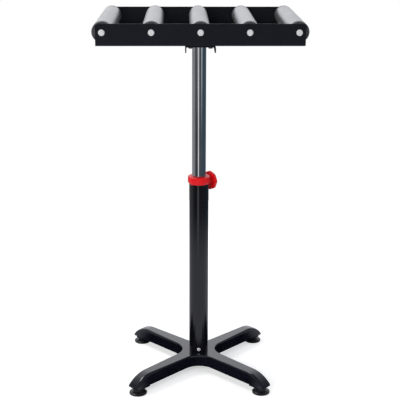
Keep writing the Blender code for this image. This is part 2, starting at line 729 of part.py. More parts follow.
def build_rails(mast):
    """Two alike folded rails, one turned to face the other, with a hole for each roller screw."""
    rail = add_piece("rail", extruded_mesh("rail", rail_section(), 2 * RAIL_HALF_LENGTH), rail_paint)
    along_x = Matrix(((0, 0, 1, 0), (1, 0, 0, 0), (0, 1, 0, 0), (0, 0, 0, 1)))
    rail.matrix_world = Matrix.Translation((0, -TABLE_DEPTH / 2, RAIL_BOTTOM)) @ along_x
    face = add_helper("rail_face", extruded_mesh("rail_face", rail_face(), 4 * RAIL_FLANGE))
    face.location = (0, -TABLE_DEPTH / 2, RAIL_BOTTOM)
    face.rotation_euler = FRONT_FACING
    boolean(rail, "INTERSECT", face)

    flange_top = RAIL_BOTTOM + RAIL_THICKNESS
    front_bolts = [(x, y) for name, x, y in bolt_places() if name.startswith("front")]
    shape = bmesh.new()
    for x, y in front_bolts:
        nut_foot = (x, y, flange_top - RAIL_THICKNESS / 2)
        add_cylinder(shape, WELD_NUT_RADIUS, nut_foot, (x, y, flange_top + WELD_NUT_HEIGHT), 6)
    boolean(rail, "UNION", add_helper("rail_weld_nuts", mesh_of("rail_weld_nuts", shape)))

    shape = bmesh.new()
    for x, y in front_bolts:
        above = (x, y, flange_top + 2 * WELD_NUT_HEIGHT)
        add_cylinder(shape, BRACKET_BOLT[2] + GAP, (x, y, UPPER_TUBE_TOP), above, SCREW_STEPS)
    for x in roller_places():
        outside = (x, -TABLE_DEPTH / 2 - RAIL_THICKNESS, AXLE_HEIGHT)
        inside = (x, RAIL_THICKNESS - RAIL_INNER_FACE, AXLE_HEIGHT)
        add_cylinder(shape, ROLLER_SCREW[2] + GAP, outside, inside, SMALL_STEPS)
    boolean(rail, "DIFFERENCE", add_helper("rail_holes", mesh_of("rail_holes", shape)))

    placed = rail.matrix_world.copy()
    mesh = applied_mesh(rail)
    mesh.transform(placed)
    add_piece("front_rail", mesh, rail_paint, mast)
    add_piece("rear_rail", mesh, rail_paint, mast).rotation_euler = (0, 0, math.radians(180))


def roller_meshes():
    """The meshes that every roller shares, with local Z as the distance out from the table's middle."""
    tube_end = CAP_FACE - CAP_FLANGE - GAP
    tube = pipe_profile(ROLLER_RADIUS, ROLLER_WALL, -tube_end, tube_end)

    spigot_radius = ROLLER_RADIUS - ROLLER_WALL - GAP
    spigot_end = CAP_FACE - CAP_FLANGE - CAP_SPIGOT
    pocket_radius = BEARING_RADIUS + GAP
    pocket_end = CAP_FACE - CAP_FACE_WALL
    cap = [
        (CAP_BORE_RADIUS, CAP_FACE),
        (ROLLER_RADIUS, CAP_FACE),
        (ROLLER_RADIUS, CAP_FACE - CAP_FLANGE),
        (spigot_radius, CAP_FACE - CAP_FLANGE),
        (spigot_radius, spigot_end),
        (pocket_radius, spigot_end),
        (pocket_radius, pocket_end),
        (CAP_BORE_RADIUS, pocket_end),
    ]

    bearing_top = pocket_end - GAP
    bearing_wall = BEARING_RADIUS - AXLE_RADIUS - GAP
    bearing = pipe_profile(BEARING_RADIUS, bearing_wall, bearing_top - BEARING_WIDTH, bearing_top)

    axle_end = RAIL_INNER_FACE - GAP
    thread_radius = ROLLER_SCREW[2] + GAP
    thread_end = TABLE_DEPTH / 2 + GAP - ROLLER_SCREW[3] - THREAD_END_ROOM
    axle = [
        (0, thread_end),
        (thread_radius, thread_end),
        (thread_radius, axle_end),
        (AXLE_RADIUS, axle_end),
        (AXLE_RADIUS, -axle_end),
        (thread_radius, -axle_end),
        (thread_radius, -thread_end),
        (0, -thread_end),
    ]
    return {
        "tube": turned_mesh("roller_tube", tube, ROLLER_STEPS, roller_steel, is_ring=True),
        "cap": turned_mesh("roller_cap", cap, CAP_STEPS, cap_plastic, is_ring=True),
        "bearing": turned_mesh("roller_bearing", bearing, SMALL_STEPS, bearing_steel, is_ring=True),
        "axle": turned_mesh("roller_axle", axle, SMALL_STEPS, bearing_steel),
        "screw": socket_screw_mesh("roller_screw", ROLLER_SCREW),
    }


def build_rollers(mast):
    """Each roller turns on two bearings about an axle that is screwed between the rails."""
    meshes = roller_meshes()
    for number, x in enumerate(roller_places(), 1):
        name = f"roller_{number}"
        axis = add_axis(name + "_axis", (x, 0, AXLE_HEIGHT))
        axis.parent = mast
        add_piece(name + "_tube", meshes["tube"], roller_steel, axis).rotation_euler = FRONT_FACING
        add_piece(name + "_axle", meshes["axle"], bearing_steel, axis).rotation_euler = FRONT_FACING
        for end, facing, side in (("front", FRONT_FACING, -1), ("rear", REAR_FACING, 1)):
            add_piece(f"{name}_cap_{end}", meshes["cap"], cap_plastic, axis).rotation_euler = facing
            bearing = add_piece(f"{name}_bearing_{end}", meshes["bearing"], bearing_steel, axis)
            bearing.rotation_euler = facing
            screw = add_piece(f"{name}_screw_{end}", meshes["screw"], zinc_plate, axis)
            screw.rotation_euler = facing
            screw.location = (0, side * (TABLE_DEPTH / 2 + GAP), 0)


clear_scene()
parts = new_collection("roller_stand")
cutters = new_collection("cutters")

casting_paint = finish("casting_paint", (0.020, 0.020, 0.023), 0.16, 0.0)
tube_paint = finish("tube_paint", (0.012, 0.012, 0.014), 0.12, 0.0)
rail_paint = finish("rail_paint", (0.018, 0.018, 0.021), 0.45, 0.0)
bright_tube = finish("bright_tube", (0.55, 0.57, 0.60), 0.14, 1.0)
roller_steel = finish("roller_steel", (0.60, 0.60, 0.62), 0.42, 1.0)
cap_plastic = finish("cap_plastic", (0.060, 0.062, 0.068), 0.55, 0.0)
zinc_plate = finish("zinc_plate", (0.72, 0.72, 0.74), 0.25, 1.0)
bearing_steel = finish("bearing_steel", (0.50, 0.50, 0.52), 0.30, 1.0)
red_plastic = finish("red_plastic", (0.62, 0.018, 0.026), 0.22, 0.0)
bush_plastic = finish("bush_plastic", (0.030, 0.030, 0.032), 0.60, 0.0)
foot_plastic = finish("foot_plastic", (0.014, 0.014, 0.016), 0.40, 0.0)

mast_axis = add_axis("mast_axis", (0, 0, 0))
build_base()
build_feet()
build_lower_tube()
build_collar()
build_clamp_screw()
build_upper_tube(mast_axis)
build_bracket(mast_axis)
build_rails(mast_axis)
build_rollers(mast_axis)
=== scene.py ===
"""A five-roller work support stand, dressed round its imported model, part by part as it is put together."""

import json
import math

import bmesh
import bpy
from mathutils import Matrix, Vector

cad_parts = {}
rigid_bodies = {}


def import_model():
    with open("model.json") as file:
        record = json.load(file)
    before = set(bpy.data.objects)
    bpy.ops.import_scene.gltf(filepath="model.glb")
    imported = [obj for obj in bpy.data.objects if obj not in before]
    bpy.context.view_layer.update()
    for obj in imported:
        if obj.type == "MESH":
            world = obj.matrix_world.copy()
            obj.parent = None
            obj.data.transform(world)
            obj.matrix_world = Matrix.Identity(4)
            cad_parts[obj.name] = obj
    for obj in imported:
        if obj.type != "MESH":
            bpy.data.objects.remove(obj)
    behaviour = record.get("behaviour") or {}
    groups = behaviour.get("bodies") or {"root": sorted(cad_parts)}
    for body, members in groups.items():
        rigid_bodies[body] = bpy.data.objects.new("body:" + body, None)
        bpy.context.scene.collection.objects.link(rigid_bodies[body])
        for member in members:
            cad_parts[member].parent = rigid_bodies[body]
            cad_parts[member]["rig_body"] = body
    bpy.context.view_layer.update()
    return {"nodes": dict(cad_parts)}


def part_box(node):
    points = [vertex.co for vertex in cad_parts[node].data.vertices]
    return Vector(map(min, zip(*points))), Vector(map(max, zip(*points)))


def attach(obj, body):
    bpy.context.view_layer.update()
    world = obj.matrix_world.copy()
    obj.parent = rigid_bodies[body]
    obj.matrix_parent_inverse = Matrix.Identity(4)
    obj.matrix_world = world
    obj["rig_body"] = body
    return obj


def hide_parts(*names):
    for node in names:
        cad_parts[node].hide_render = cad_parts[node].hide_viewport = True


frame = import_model()


# The photographer's view: a long lens at chest height, looking down on the stand from in front.
# The camera stands a little to the left of the stand's middle and turns a little to the right.
lens = bpy.data.cameras.new("long_lens")
lens.lens = 89.45
lens.sensor_width = 36
lens.clip_end = 20
camera = bpy.data.objects.new("camera", lens)
bpy.context.scene.collection.objects.link(camera)
camera_place = (-0.0398, -2.2966, 1.1293)
turn_right = 0.01851
look_down = 0.29245
roll = 0.00240
camera.matrix_world = (
    Matrix.Translation(camera_place)
    @ Matrix.Rotation(-turn_right, 4, "Z")
    @ Matrix.Rotation(math.radians(90) - look_down, 4, "X")
    @ Matrix.Rotation(roll, 4, "Z")
)
bpy.context.scene.camera = camera
bpy.context.scene.view_settings.view_transform = "Standard"


# The floor is a round of white paper. The camera sees it glow, more so further out, so that it runs into
# the white behind and still takes the stand's shadow. Gloss sees a painted reflection of it: an oval of
# painted shade under the legs, which keeps their sides dark, then glowing pale paper that fades out towards
# the dim room.
disc = bmesh.new()
bmesh.ops.create_circle(disc, cap_ends=True, segments=128, radius=1.45)
paper_mesh = bpy.data.meshes.new("paper_floor")
disc.to_mesh(paper_mesh)
disc.free()
floor = bpy.data.objects.new("paper_floor", paper_mesh)
bpy.context.scene.collection.objects.link(floor)

white_paper = bpy.data.materials.new("white_paper")
white_paper.use_nodes = True
nodes = white_paper.node_tree.nodes
links = white_paper.node_tree.links
paper_shader = nodes["Principled BSDF"]
paper_shader.inputs["Base Color"].default_value = (0.80, 0.80, 0.81, 1)
paper_shader.inputs["Roughness"].default_value = 0.9
paper_shader.inputs["Specular IOR Level"].default_value = 0.1
floor_place = nodes.new("ShaderNodeTexCoord")


def spread(owner, value, start, end, at_start=0, at_end=1, smooth=False):
    """A number that goes from one value to another while the one it follows goes from start to end."""
    follower = owner.node_tree.nodes.new("ShaderNodeMapRange")
    follower.interpolation_type = "SMOOTHSTEP" if smooth else "LINEAR"
    follower.inputs["From Min"].default_value = start
    follower.inputs["From Max"].default_value = end
    follower.inputs["To Min"].default_value = at_start
    follower.inputs["To Max"].default_value = at_end
    owner.node_tree.links.new(value, follower.inputs["Value"])
    return follower.outputs["Result"]


def either(owner, choice, first, second):
    """The first shader where the choice is 0, and the second where it is 1."""
    mixed = owner.node_tree.nodes.new("ShaderNodeMixShader")
    for socket, source in zip(mixed.inputs, (choice, first, second)):
        owner.node_tree.links.new(source, socket)
    return mixed.outputs[0]


def by_distance(near, far, at_near, at_far, sideways=1):
    """A number that changes smoothly from one distance from the column to another."""
    squeezed = nodes.new("ShaderNodeVectorMath")
    squeezed.operation = "MULTIPLY"
    squeezed.inputs[1].default_value = (sideways, 1, 1)
    links.new(floor_place.outputs["Object"], squeezed.inputs[0])
    from_column = nodes.new("ShaderNodeVectorMath")
    from_column.operation = "LENGTH"
    links.new(squeezed.outputs["Vector"], from_column.inputs[0])
    return spread(white_paper, from_column.outputs["Value"], near, far, at_near, at_far, smooth=True)


paper_glow = nodes.new("ShaderNodeEmission")
links.new(by_distance(0.30, 0.85, 0.50, 1.0), paper_glow.inputs["Strength"])
seen_paper = nodes.new("ShaderNodeAddShader")
links.new(paper_shader.outputs[0], seen_paper.inputs[0])
links.new(paper_glow.outputs[0], seen_paper.inputs[1])
paper_rays = nodes.new("ShaderNodeLightPath")
for_camera = paper_rays.outputs["Is Camera Ray"]
for_gloss = paper_rays.outputs["Is Glossy Ray"]
paper = either(white_paper, for_camera, paper_shader.outputs[0], seen_paper.outputs[0])

# Painted reflection of the floor for gloss: painted shade near the legs, a glowing pale paper tone further
# out.
painted_shade_to_paper = nodes.new("ShaderNodeMix")
painted_shade_to_paper.data_type = "RGBA"
painted_shade_to_paper.inputs[6].default_value = (0.005, 0.005, 0.009, 1)
painted_shade_to_paper.inputs[7].default_value = (0.54, 0.55, 0.62, 1)
links.new(by_distance(0.15, 0.21, 0, 1, sideways=0.5), painted_shade_to_paper.inputs["Factor"])
painted_floor_reflection = nodes.new("ShaderNodeEmission")
links.new(painted_shade_to_paper.outputs[2], painted_floor_reflection.inputs["Color"])
dim_room_beyond = nodes.new("ShaderNodeBsdfTransparent")
paper_end = by_distance(0.75, 1.40, 0, 1)
floor_in_gloss = either(white_paper, paper_end, painted_floor_reflection.outputs[0], dim_room_beyond.outputs[0])
links.new(either(white_paper, for_gloss, paper, floor_in_gloss), nodes["Material Output"].inputs["Surface"])
floor.data.materials.append(white_paper)


# The room round the stand is plain white for the camera. Gloss sees a white sweep behind and above, a dim
# ceiling in front and, low down, a dim room with a bright strip of window in front and a grey wall on the
# left. A panel above, a large one in front and a weaker one on the right light the stand softly.
room = bpy.data.worlds.new("studio")
bpy.context.scene.world = room
room.use_nodes = True
room.cycles.sampling_method = "NONE"
nodes = room.node_tree.nodes
links = room.node_tree.links
nodes.clear()
looking = nodes.new("ShaderNodeTexCoord")
compass = nodes.new("ShaderNodeSeparateXYZ")
links.new(looking.outputs["Generated"], compass.inputs[0])
towards_front = nodes.new("ShaderNodeMath")
towards_front.operation = "MULTIPLY"
towards_front.inputs[1].default_value = -1
links.new(compass.outputs["Y"], towards_front.inputs[0])
bearing = nodes.new("ShaderNodeMath")
bearing.operation = "ARCTAN2"
links.new(compass.outputs["X"], bearing.inputs[0])
links.new(towards_front.outputs[0], bearing.inputs[1])
bearing_share = spread(room, bearing.outputs[0], -math.pi, math.pi)


def painted_round(tones_by_bearing):
    """A colour for each bearing of the room, in degrees to the right of straight in front."""
    paint = nodes.new("ShaderNodeValToRGB")
    links.new(bearing_share, paint.inputs["Fac"])
    stops = paint.color_ramp.elements
    while len(stops) < len(tones_by_bearing):
        stops.new(0.5)
    for stop, (degrees, tone) in zip(stops, tones_by_bearing):
        stop.position = degrees / 360 + 0.5
        stop.color = (*tone, 1)
    return paint.outputs["Color"]


def dimmed(colour, amount):
    """A colour of the room, made weaker by an amount."""
    weaker = nodes.new("ShaderNodeVectorMath")
    weaker.operation = "SCALE"
    links.new(colour, weaker.inputs[0])
    links.new(amount, weaker.inputs["Scale"])
    return weaker.outputs["Vector"]


def two_tones(owner, amount, low, high, low_at, high_at):
    """Two tones, mixed by an amount."""
    ramp = owner.node_tree.nodes.new("ShaderNodeValToRGB")
    ramp.color_ramp.elements[0].position = low_at
    ramp.color_ramp.elements[1].position = high_at
    ramp.color_ramp.elements[0].color = (*low, 1)
    ramp.color_ramp.elements[1].color = (*high, 1)
    owner.node_tree.links.new(amount, ramp.inputs["Fac"])
    return ramp.outputs["Color"]


walls = painted_round(
    (
        (-180, (0.60, 0.61, 0.62)),
        (-150, (0.28, 0.29, 0.30)),
        (-122, (0.24, 0.25, 0.27)),
        (-88, (0.34, 0.35, 0.36)),
        (-62, (0.10, 0.10, 0.11)),
        (-44, (0.050, 0.052, 0.056)),
        (-20, (0.060, 0.062, 0.066)),
        (-15, (0.93, 0.94, 0.97)),
        (-6, (0.93, 0.94, 0.97)),
        (1, (0.085, 0.088, 0.094)),
        (24, (0.080, 0.090, 0.105)),
        (60, (0.055, 0.082, 0.110)),
        (150, (0.055, 0.085, 0.125)),
        (180, (0.60, 0.61, 0.62)),
    )
)

# Higher up, the window is wider to the left, and a second one stands to its right.
high_windows = painted_round(
    (
        (-44, (0, 0, 0)),
        (-37, (0.24, 0.24, 0.25)),
        (-24, (0.24, 0.24, 0.25)),
        (-16, (0, 0, 0)),
        (31, (0, 0, 0)),
        (38, (0.52, 0.58, 0.58)),
        (48, (0.52, 0.58, 0.58)),
        (56, (0, 0, 0)),
    )
)
above_sill = spread(room, compass.outputs["Z"], -0.225, -0.135)
lit_walls = nodes.new("ShaderNodeVectorMath")
links.new(walls, lit_walls.inputs[0])
links.new(dimmed(high_windows, above_sill), lit_walls.inputs[1])

# Above the horizon, the sweep behind is bright, and it is a little dimmer on the right.
behind = spread(room, compass.outputs["Y"], 0, 0.8)
sweep = two_tones(room, behind, (0.15, 0.16, 0.19), (1.30, 1.31, 1.39), 0, 1)
dimmer_right = spread(room, compass.outputs["X"], -0.80, 0.80, 1.00, 0.66)
gloss_tone = nodes.new("ShaderNodeMix")
gloss_tone.data_type = "RGBA"
links.new(spread(room, compass.outputs["Z"], -0.04, 0.12, smooth=True), gloss_tone.inputs["Factor"])
links.new(lit_walls.outputs["Vector"], gloss_tone.inputs[6])
links.new(dimmed(sweep, dimmer_right), gloss_tone.inputs[7])

seen_in_gloss = nodes.new("ShaderNodeBackground")
links.new(gloss_tone.outputs[2], seen_in_gloss.inputs["Color"])
room_light = nodes.new("ShaderNodeBackground")
room_light.inputs["Color"].default_value = (0.97, 0.98, 1.0, 1)
room_light.inputs["Strength"].default_value = 0.42
backdrop = nodes.new("ShaderNodeBackground")
backdrop.inputs["Color"].default_value = (1, 1, 1, 1)
rays = nodes.new("ShaderNodeLightPath")
light_or_gloss = either(room, rays.outputs["Is Glossy Ray"], room_light.outputs[0], seen_in_gloss.outputs[0])
room_for_all = either(room, rays.outputs["Is Camera Ray"], light_or_gloss, backdrop.outputs[0])
world_output = nodes.new("ShaderNodeOutputWorld")
links.new(room_for_all, world_output.inputs["Surface"])


def softbox(name, place, target, size, watts, colour=(1, 1, 1), in_gloss=False):
    """A soft light panel that faces a point of the stand."""
    lamp = bpy.data.lights.new(name, "AREA")
    lamp.shape = "RECTANGLE"
    lamp.size, lamp.size_y = size
    lamp.energy = watts
    lamp.color = colour
    box = bpy.data.objects.new(name, lamp)
    bpy.context.scene.collection.objects.link(box)
    facing = (Vector(target) - Vector(place)).to_track_quat("-Z", "Y")
    box.matrix_world = Matrix.Translation(place) @ facing.to_matrix().to_4x4()
    box.visible_glossy = in_gloss


softbox("ceiling_softbox", (-0.95, 0.25, 1.9), (-0.2, 0, 0.8), size=(0.9, 0.8), watts=12, in_gloss=True)
softbox("front_softbox", (-1.1, -2.4, 1.4), (0, 0, 0.5), size=(1.2, 1.2), watts=34)
softbox("right_softbox", (2.0, -1.2, 1.4), (0, 0, 0.6), size=(1.0, 1.2), watts=9, colour=(0.82, 0.86, 1.0))


# The base is one iron casting under black enamel: a hub and four drafted legs, each with a flat top,
# rounded shoulders and a toe that curves down. Below it is hollow, with a pad under each toe, and on top
# it has a cored spigot that the column tube stands over.
def surface_of(finish):
    """The inputs of a finish's shader."""
    return finish.node_tree.nodes["Principled BSDF"].inputs


def finish_named(name, settings=None):
    """A material for one of the stand's finishes, with the settings that are the same all over it."""
    finish = bpy.data.materials.new(name)
    finish.use_nodes = True
    for setting, value in (settings or {}).items():
        surface_of(finish)[setting].default_value = value
    return finish


def grain(finish, scale, stretch=(1, 1, 1), detail=3.0):
    """Noise in the piece's own coordinates, stretched along the way that the piece was worked."""
    nodes = finish.node_tree.nodes
    links = finish.node_tree.links
    place = nodes.new("ShaderNodeTexCoord")
    stretched = nodes.new("ShaderNodeMapping")
    stretched.inputs["Scale"].default_value = stretch
    noise = nodes.new("ShaderNodeTexNoise")
    noise.inputs["Scale"].default_value = scale
    noise.inputs["Detail"].default_value = detail
    links.new(place.outputs["Object"], stretched.inputs["Vector"])
    links.new(stretched.outputs["Vector"], noise.inputs["Vector"])
    return noise.outputs["Fac"]


def colour(finish, noise, low, high):
    """Colours a finish between two tones, by noise that mostly lies in its middle third."""
    tone = two_tones(finish, noise, low, high, 0.35, 0.65)
    finish.node_tree.links.new(tone, surface_of(finish)["Base Color"])


def dull(finish, noise, low, high):
    """Makes a finish's roughness run from low to high, by noise that mostly lies in its middle."""
    finish.node_tree.links.new(spread(finish, noise, 0.3, 0.7, low, high), surface_of(finish)["Roughness"])


def relief(finish, height, distance):
    """Raises the surface by a height, in metres at full white."""
    bump = finish.node_tree.nodes.new("ShaderNodeBump")
    bump.inputs["Strength"].default_value = 1
    bump.inputs["Distance"].default_value = distance
    finish.node_tree.links.new(height, bump.inputs["Height"])
    finish.node_tree.links.new(bump.outputs["Normal"], surface_of(finish)["Normal"])


def stand_piece(name, shape, finish, body, node, edge=0.0004):
    """Makes a finished bmesh into a piece that rides on a body, with its hard edges eased."""
    mesh = bpy.data.meshes.new(name)
    shape.to_mesh(mesh)
    shape.free()
    mesh.materials.append(finish)
    mesh.shade_smooth()
    piece = bpy.data.objects.new(name, mesh)
    bpy.context.scene.collection.objects.link(piece)
    eased = piece.modifiers.new("eased_edges", "BEVEL")
    eased.width = edge
    eased.segments = 2
    eased.limit_method = "ANGLE"
    eased.angle_limit = math.radians(32)
    eased.harden_normals = True
    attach(piece, body)
    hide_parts(node)


def only(parts, kind):
    """The vertices, edges or faces among the parts that an operator made."""
    return [part for part in parts if isinstance(part, kind)]


enamel = finish_named("black_enamel", {"Coat Weight": 0.6, "Coat Roughness": 0.08})
cast_grain = grain(enamel, 95, detail=4)
long_waves = grain(enamel, 14, detail=2)
colour(enamel, long_waves, (0.0025, 0.003, 0.006), (0.006, 0.0065, 0.012))
dull(enamel, cast_grain, 0.10, 0.20)
relief(enamel, cast_grain, 0.00012)

# A station is a distance from the column along a leg. The top of a toe is part of an ellipse, toe_length
# long and toe_drop high, about a point at the height toe_centre.
leg_half_width = 0.017
leg_bottom = 0.018
leg_top = 0.047
leg_wall = 0.005
crotch_radius = 0.0434
root_station = 0.0604
tip_station = 0.170
toe_start = 0.176
toe_length = 0.0545
toe_centre = -0.003
toe_drop = 0.050
toe_corner = 0.004
toe_steps = 12
diagonal = math.sqrt(0.5)
toe_sweep = math.acos((leg_bottom - toe_centre) / toe_drop)
toe_stations = [toe_start + toe_length * math.sin(toe_sweep * i / toe_steps) for i in range(toe_steps + 1)]
toe_tip = toe_stations[-1]
shoulder_depth = 0.006
shoulder_steps = 6
side_top = leg_top - leg_bottom - shoulder_depth

casting = bmesh.new()
bmesh.ops.create_circle(casting, cap_ends=True, segments=4, radius=leg_half_width / diagonal)
for side in list(casting.edges):
    out = (side.verts[0].co + side.verts[1].co).normalized()
    leg = bmesh.ops.extrude_edge_only(casting, edges=[side])["geom"]
    leg_end = only(leg, bmesh.types.BMVert)
    bmesh.ops.translate(casting, vec=out * (toe_tip - leg_half_width), verts=leg_end)
inner_edges = [edge for edge in casting.edges if len(edge.link_faces) == 2]
bmesh.ops.dissolve_edges(casting, edges=inner_edges, use_verts=False)
crotches = [corner for corner in casting.verts if corner.co.length < 0.05]
bmesh.ops.bevel(
    casting,
    geom=crotches,
    offset=crotch_radius,
    segments=12,
    profile=0.5,
    affect="VERTICES",
    material=-1,
)
for quarter in range(4):
    along = Vector((diagonal, diagonal, 0))
    along.rotate(Matrix.Rotation(math.radians(90 * quarter), 3, "Z"))
    for station in [root_station + 0.0005] + toe_stations[:-1]:
        everything = casting.verts[:] + casting.edges[:] + casting.faces[:]
        here = along * station
        bmesh.ops.bisect_plane(casting, geom=everything, dist=1e-6, plane_co=here, plane_no=along)

# Each level of the casting: its share of the height, of the side's draft and of the shoulder's rounding.
# The plan is stacked level on level, a step apart, and each level is then moved to its real place.
leg_height = leg_top - leg_bottom
below_shoulder = 0.0006
top_inset = 1.15
levels = [(0, 0, 0), ((side_top - below_shoulder) / leg_height, 1, 0)]
for step in range(shoulder_steps + 1):
    turned = math.radians(90 * step / shoulder_steps)
    height = side_top + shoulder_depth * math.sin(turned)
    levels.append((height / leg_height, 1, 1 - math.cos(turned)))
levels.append((1, 1, top_inset))
level_step = 0.01
skin = casting.faces[:]
for level in range(1, len(levels)):
    raised = bmesh.ops.extrude_face_region(casting, geom=skin)["geom"]
    if level > 1:
        bmesh.ops.delete(casting, geom=skin, context="FACES")
    skin = only(raised, bmesh.types.BMFace)
    bmesh.ops.translate(casting, vec=(0, 0, level_step), verts=only(raised, bmesh.types.BMVert))

crotch_centre = leg_half_width / diagonal + crotch_radius / diagonal
draft_at_root = 0.0008
draft_at_tip = 0.0027
shoulder_at_root = 0.0017
shoulder_at_tip = 0.0048
for vertex in casting.verts:
    share, draft, rounding = levels[round(vertex.co.z / level_step)]
    plan = Vector((vertex.co.x, vertex.co.y))
    along = Vector((math.copysign(diagonal, plan.x), math.copysign(diagonal, plan.y)))
    station = plan.dot(along)
    across = Vector((-along.y, along.x))
    side = plan.dot(across)
    beyond_root = max(0, station - root_station) / (tip_station - root_station)
    inward = draft * (draft_at_root + (draft_at_tip - draft_at_root) * beyond_root)
    inward += rounding * (shoulder_at_root + (shoulder_at_tip - shoulder_at_root) * beyond_root)
    top = leg_top
    if station > toe_start:
        toe_share = min(1, (station - toe_start) / toe_length)
        top = toe_centre + toe_drop * math.sqrt(1 - toe_share * toe_share)
        inward *= math.sqrt(max(0, (top - leg_bottom) / leg_height))
    half_width = leg_half_width
    if station > toe_tip - toe_corner:
        into_corner = min(toe_corner, station - (toe_tip - toe_corner))
        half_width += math.sqrt(toe_corner**2 - into_corner**2) - toe_corner
    if station < root_station:
        if abs(plan.x) > abs(plan.y):
            centre = Vector((math.copysign(crotch_centre, plan.x), 0))
        else:
            centre = Vector((0, math.copysign(crotch_centre, plan.y)))
        plan = centre + (plan - centre).normalized() * (crotch_radius + inward)
    else:
        plan = along * station + across * math.copysign(half_width - inward, side)
    vertex.co = (plan.x, plan.y, leg_bottom + share * (top - leg_bottom))
bmesh.ops.remove_doubles(casting, verts=casting.verts, dist=1e-5)
bmesh.ops.dissolve_degenerate(casting, edges=casting.edges, dist=1e-6)
bmesh.ops.recalc_face_normals(casting, faces=casting.faces)


def under_faces(shape, nearest, furthest):
    """The faces of the casting's underside whose middles lie between two distances from the column."""
    found = []
    for face in shape.faces:
        middle = face.calc_center_median()
        reach = Vector((abs(middle.x), abs(middle.y))).dot(Vector((diagonal, diagonal)))
        if abs(middle.z - leg_bottom) < 1e-5 and face.normal.z < -0.9 and nearest <= reach <= furthest:
            found.append(face)
    return found


def shift_inside(shape, faces, rim, distance):
    """Moves faces up or down inside a rim of one width."""
    bmesh.ops.inset_region(shape, faces=faces, thickness=rim, use_boundary=True, use_even_offset=True)
    drawn = bmesh.ops.extrude_face_region(shape, geom=faces)["geom"]
    bmesh.ops.delete(shape, geom=faces, context="FACES")
    bmesh.ops.translate(shape, vec=(0, 0, distance), verts=only(drawn, bmesh.types.BMVert))


pad_rim = 0.0018
pad_depth = 0.004
shift_inside(casting, under_faces(casting, 0, toe_start), leg_wall, leg_height - leg_wall)
shift_inside(casting, under_faces(casting, toe_stations[1], toe_stations[9]), pad_rim, -pad_depth)
bmesh.ops.recalc_face_normals(casting, faces=casting.faces)


def turned_shape(profile, steps=96, closed=False):
    """A round shape, made by spinning a run of (radius, height) points once round Z."""
    shape = bmesh.new()
    points = [shape.verts.new((radius, 0, height)) for radius, height in profile]
    runs = [shape.edges.new(pair) for pair in zip(points, points[1:])]
    if closed:
        runs.append(shape.edges.new((points[-1], points[0])))
    bmesh.ops.spin(
        shape,
        geom=points + runs,
        cent=(0, 0, 0),
        axis=(0, 0, 1),
        angle=math.tau,
        steps=steps,
        use_merge=True,
    )
    bmesh.ops.remove_doubles(shape, verts=shape.verts, dist=1e-6)
    bmesh.ops.recalc_face_normals(shape, faces=shape.faces)
    return shape


def add_shape(shape, other, place=None):
    """Adds another shape to this one, turned and moved into place."""
    if place:
        bmesh.ops.transform(other, matrix=place, verts=other.verts)
    carried = bpy.data.meshes.new("carried")
    other.to_mesh(carried)
    other.free()
    shape.from_mesh(carried)
    bpy.data.meshes.remove(carried)


casting_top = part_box("base_casting")[1].z
spigot_radius = 0.0212
spigot_core = 0.0152
spigot_chamfer = 0.0015
spigot_foot = leg_top - 0.020
spigot_end = 0.006
spigot = [
    (0, casting_top),
    (spigot_radius - spigot_chamfer, casting_top),
    (spigot_radius, casting_top - spigot_chamfer),
    (spigot_radius, spigot_foot),
    (spigot_core, spigot_foot),
    (spigot_core, casting_top - spigot_end),
    (0, casting_top - spigot_end),
]
add_shape(casting, turned_shape(spigot))
stand_piece("base_enamelled", casting, enamel, "base", "base_casting", edge=0.0007)


# The levelling feet are black nylon discs with a raised neck, each moulded round a threaded stud that
# screws up into a toe. The stud only shows when a foot is wound out.
nylon = finish_named("black_nylon")
scuffs = grain(nylon, 60, stretch=(1, 1, 3), detail=5)
colour(nylon, scuffs, (0.006, 0.006, 0.008), (0.014, 0.014, 0.016))
dull(nylon, scuffs, 0.28, 0.46)
relief(nylon, grain(nylon, 420, detail=2), 0.00003)

foot_profile = [
    (0, 0),
    (0.0199, 0),
    (0.0208, 0.0005),
    (0.0210, 0.0014),
    (0.0210, 0.0034),
    (0.0205, 0.0041),
    (0.0190, 0.0050),
    (0.0150, 0.0064),
    (0.0122, 0.0074),
    (0.0115, 0.0086),
    (0.0115, 0.0126),
    (0.0111, 0.0134),
    (0.0103, 0.0137),
]
neck_top = 0.0137
stud_end = 0.0292
thread_crest = 0.0048
thread_root = 0.0042
thread_pitch = 0.00125
thread_turns = 12
foot_profile.append((thread_crest, neck_top))
for turn in range(thread_turns):
    turn_start = neck_top + thread_pitch * turn
    foot_profile.append((thread_crest, turn_start + thread_pitch * 0.3))
    foot_profile.append((thread_root, turn_start + thread_pitch * 0.75))
foot_profile += [(0.0044, stud_end), (0, stud_end)]
for place in ("front_left", "front_right", "rear_left", "rear_right"):
    node = "foot_" + place
    body = frame["nodes"][node]["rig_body"]
    low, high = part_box(node)
    middle = (low + high) / 2
    foot = turned_shape(foot_profile, steps=56)
    bmesh.ops.translate(foot, vec=(middle.x, middle.y, 0), verts=foot.verts)
    stand_piece(node + "_moulded", foot, nylon, body, node, edge=0.0002)


# The lower tube is welded steel tube in black gloss stove paint. It stands over the spigot and is held
# there by one plated button screw at the front.
stove_paint = finish_named("black_stove_paint", {"Coat Weight": 0.35, "Coat Roughness": 0.08})
sags = grain(stove_paint, 30, stretch=(1, 1, 0.2), detail=2)
colour(stove_paint, sags, (0.003, 0.003, 0.0045), (0.005, 0.005, 0.0075))
dull(stove_paint, sags, 0.11, 0.19)
relief(stove_paint, grain(stove_paint, 260, detail=2), 0.00002)

tube_radius = 0.0235
tube_bore = 0.0215


def pipe(node, radius, bore):
    """A plain length of tube on the column's line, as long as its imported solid."""
    low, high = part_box(node)
    return turned_shape([(radius, low.z), (radius, high.z), (bore, high.z), (bore, low.z)], closed=True)


lower_tube = pipe("lower_tube", tube_radius, tube_bore)
stand_piece("lower_tube_painted", lower_tube, stove_paint, "base", "lower_tube")

